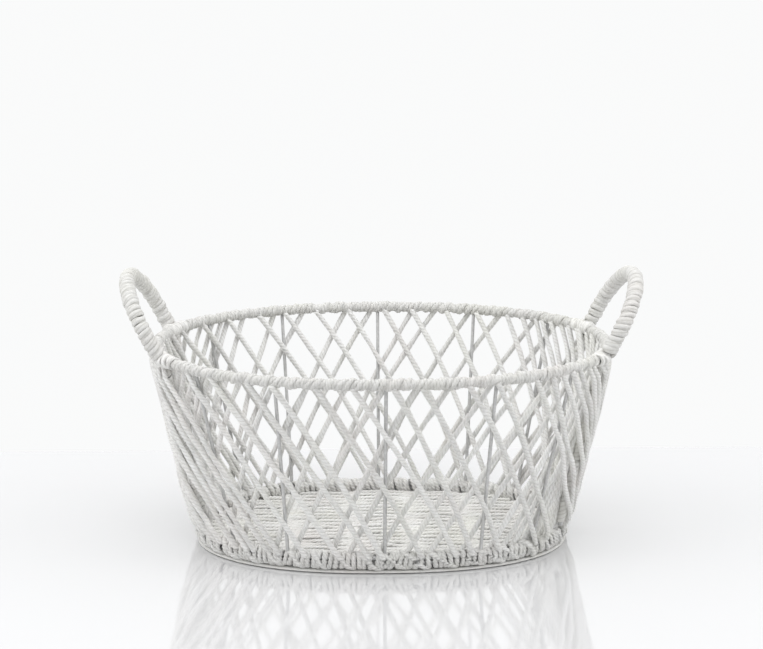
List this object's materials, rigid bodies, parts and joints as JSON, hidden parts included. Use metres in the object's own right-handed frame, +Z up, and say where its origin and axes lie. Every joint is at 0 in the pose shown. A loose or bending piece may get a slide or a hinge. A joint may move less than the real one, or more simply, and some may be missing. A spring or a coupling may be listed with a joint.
{
  "type": "rope storage basket",
  "caption": "Oval tapered open basket of twisted paper rope laced in diamonds over a wire frame, with a rope-wrapped loop handle at each end.",
  "frame": {"origin": "on the floor under the middle of the basket", "axes": "+Z up, +X along the long side towards the right handle, -Y towards the front"},
  "size_m": [0.4156, 0.283, 0.22],
  "materials": {
    "rope": "matt twisted white paper rope",
    "mat_rope": "matt twisted white paper rope, woven flat",
    "wire": "satin pale grey coated steel wire"
  },
  "bodies": {
    "root": {"rim_wire": "wire", "base_wire_lower": "wire", "base_wire_upper": "wire", "stave_01": "wire", "stave_02": "wire", "stave_03": "wire", "stave_04": "wire", "stave_05": "wire", "stave_06": "wire", "stave_07": "wire", "stave_08": "wire", "stave_09": "wire", "stave_10": "wire", "stave_11": "wire", "stave_12": "wire", "rim_wrap_right": "rope", "rim_wrap_back": "rope", "rim_wrap_left": "rope", "rim_wrap_front": "rope", "base_band_right": "rope", "base_band_left": "rope", "foot_strip": "rope", "outer_ropes_01": "rope", "outer_ropes_02": "rope", "outer_ropes_03": "rope", "outer_ropes_04": "rope", "outer_ropes_05": "rope", "outer_ropes_06": "rope", "outer_ropes_07": "rope", "outer_ropes_08": "rope", "outer_ropes_09": "rope", "outer_ropes_10": "rope", "outer_ropes_11": "rope", "outer_ropes_12": "rope", "inner_ropes_01": "rope", "inner_ropes_02": "rope", "inner_ropes_03": "rope", "inner_ropes_04": "rope", "inner_ropes_05": "rope", "inner_ropes_06": "rope", "inner_ropes_07": "rope", "inner_ropes_08": "rope", "inner_ropes_09": "rope", "inner_ropes_10": "rope", "inner_ropes_11": "rope", "inner_ropes_12": "rope", "base_mat": "mat_rope", "base_rib_01": "wire", "base_rib_02": "wire", "base_rib_03": "wire", "base_rib_04": "wire", "base_rib_05": "wire", "handle_rod_right": "wire", "handle_wrap_right": "rope", "handle_rod_left": "wire", "handle_wrap_left": "rope", "lashing_right_front": "rope", "lashing_right_back": "rope", "lashing_left_back": "rope", "lashing_left_front": "rope"}
  },
  "joints": []
}
